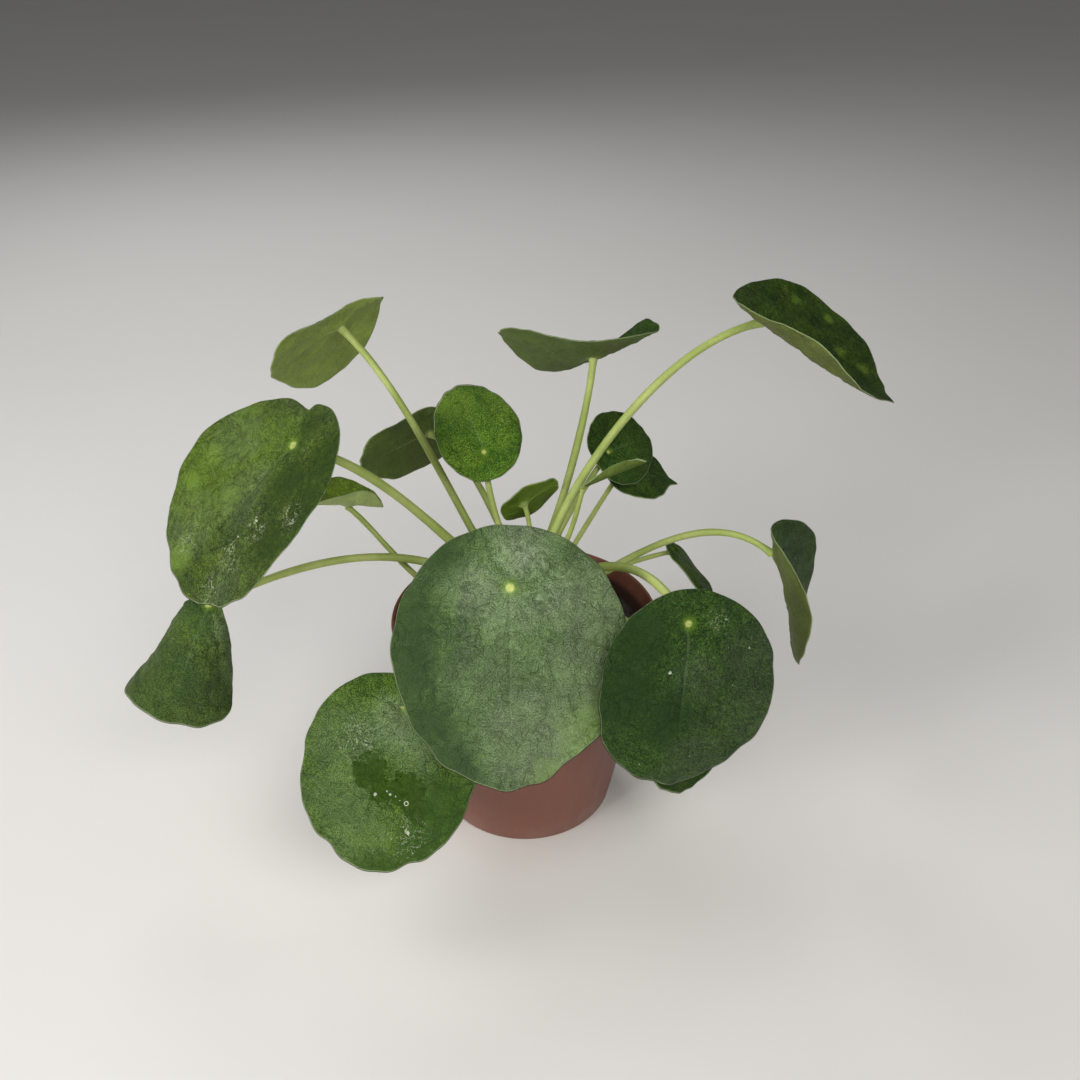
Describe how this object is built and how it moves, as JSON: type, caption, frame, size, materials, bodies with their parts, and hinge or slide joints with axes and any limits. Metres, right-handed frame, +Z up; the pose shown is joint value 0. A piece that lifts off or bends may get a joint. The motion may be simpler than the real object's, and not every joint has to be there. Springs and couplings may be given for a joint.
{
  "type": "potted houseplant",
  "caption": "Small houseplant with round, shield-shaped leaves on long thin stalks, in a plain tapered nursery pot.",
  "frame": {"origin": "centre of the pot's flat underside, on the surface it stands on", "axes": "+Z up along the pot's axis, -Y towards the picture's viewer, +X to the picture's right, along the plant's longest extent"},
  "size_m": [0.2982, 0.1939, 0.2003],
  "materials": {
    "pot": "thin matte brown-red plastic",
    "soil": "dark peat potting soil",
    "bark": "woody main stem with leaf scars",
    "blade": "smooth satin leaf, darker above than below",
    "stalk": "smooth juicy light green stalk"
  },
  "bodies": {
    "root": {"pot": "pot", "soil": "soil", "main_stem": "bark", "leaf_front": "blade", "stalk_front": "stalk", "leaf_front_right": "blade", "stalk_front_right": "stalk", "leaf_front_left": "blade", "stalk_front_left": "stalk", "leaf_left": "blade", "stalk_left": "stalk", "leaf_far_left": "blade", "stalk_far_left": "stalk", "leaf_back_left": "blade", "stalk_back_left": "stalk", "leaf_back": "blade", "stalk_back": "stalk", "leaf_middle": "blade", "stalk_middle": "stalk", "leaf_cupped": "blade", "stalk_cupped": "stalk", "leaf_back_right": "blade", "stalk_back_right": "stalk", "leaf_right": "blade", "stalk_right": "stalk", "leaf_young_right": "blade", "stalk_young_right": "stalk", "leaf_young_low": "blade", "stalk_young_low": "stalk", "leaf_rolled": "blade", "stalk_rolled": "stalk", "leaf_young_middle": "blade", "stalk_young_middle": "stalk", "leaf_hanging": "blade", "stalk_hanging": "stalk", "leaf_young_edge": "blade", "stalk_young_edge": "stalk", "leaf_low_right": "blade", "stalk_low_right": "stalk"}
  },
  "joints": []
}
